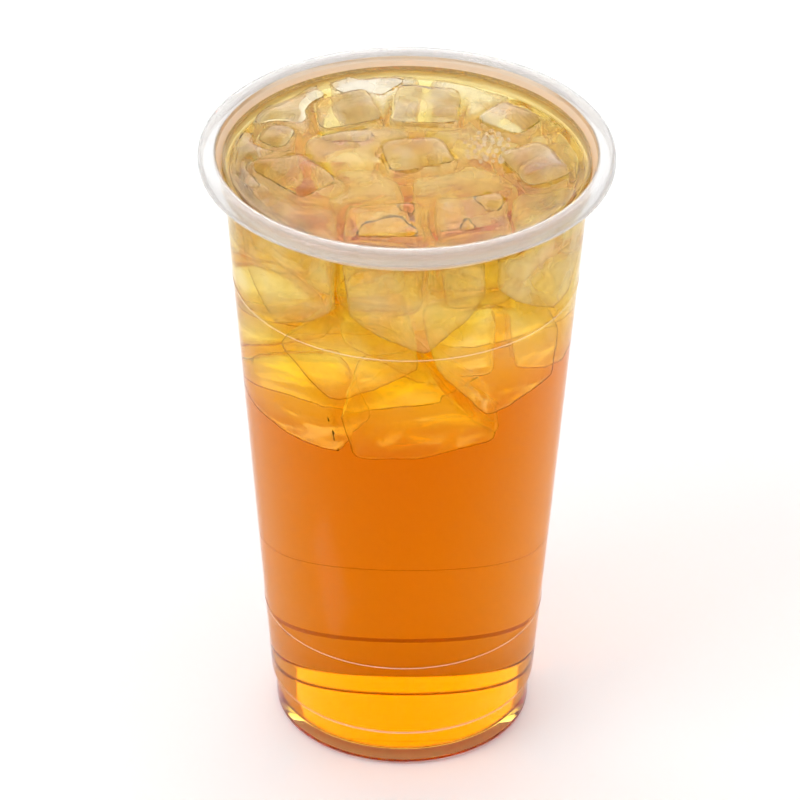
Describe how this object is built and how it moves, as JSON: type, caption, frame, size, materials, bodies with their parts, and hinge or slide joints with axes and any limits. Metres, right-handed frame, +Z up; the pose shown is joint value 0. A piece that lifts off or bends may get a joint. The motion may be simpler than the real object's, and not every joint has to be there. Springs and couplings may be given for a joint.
{
  "type": "iced winter melon tea in a clear plastic cup",
  "caption": "Tall clear tapered cup with a rolled rim, stacking step and moulded rings, filled with amber tea and floating ice cubes.",
  "frame": {"origin": "centre of the foot ring, on the plane that the cup stands on", "axes": "+Z up along the cup's axis; -Y is the side that faces the camera, +X to its right"},
  "size_m": [0.0952, 0.0952, 0.152],
  "materials": {
    "clear_plastic": "clear, gloss",
    "tea": "clear amber liquid",
    "ice": "wet clear ice"
  },
  "bodies": {
    "root": {"cup": "clear_plastic", "tea": "tea", "ice_front_left": "ice", "ice_front_right": "ice", "ice_left": "ice", "ice_right": "ice", "ice_centre": "ice", "ice_back_left": "ice", "ice_back": "ice", "ice_back_right": "ice", "ice_far_left": "ice"}
  },
  "joints": []
}
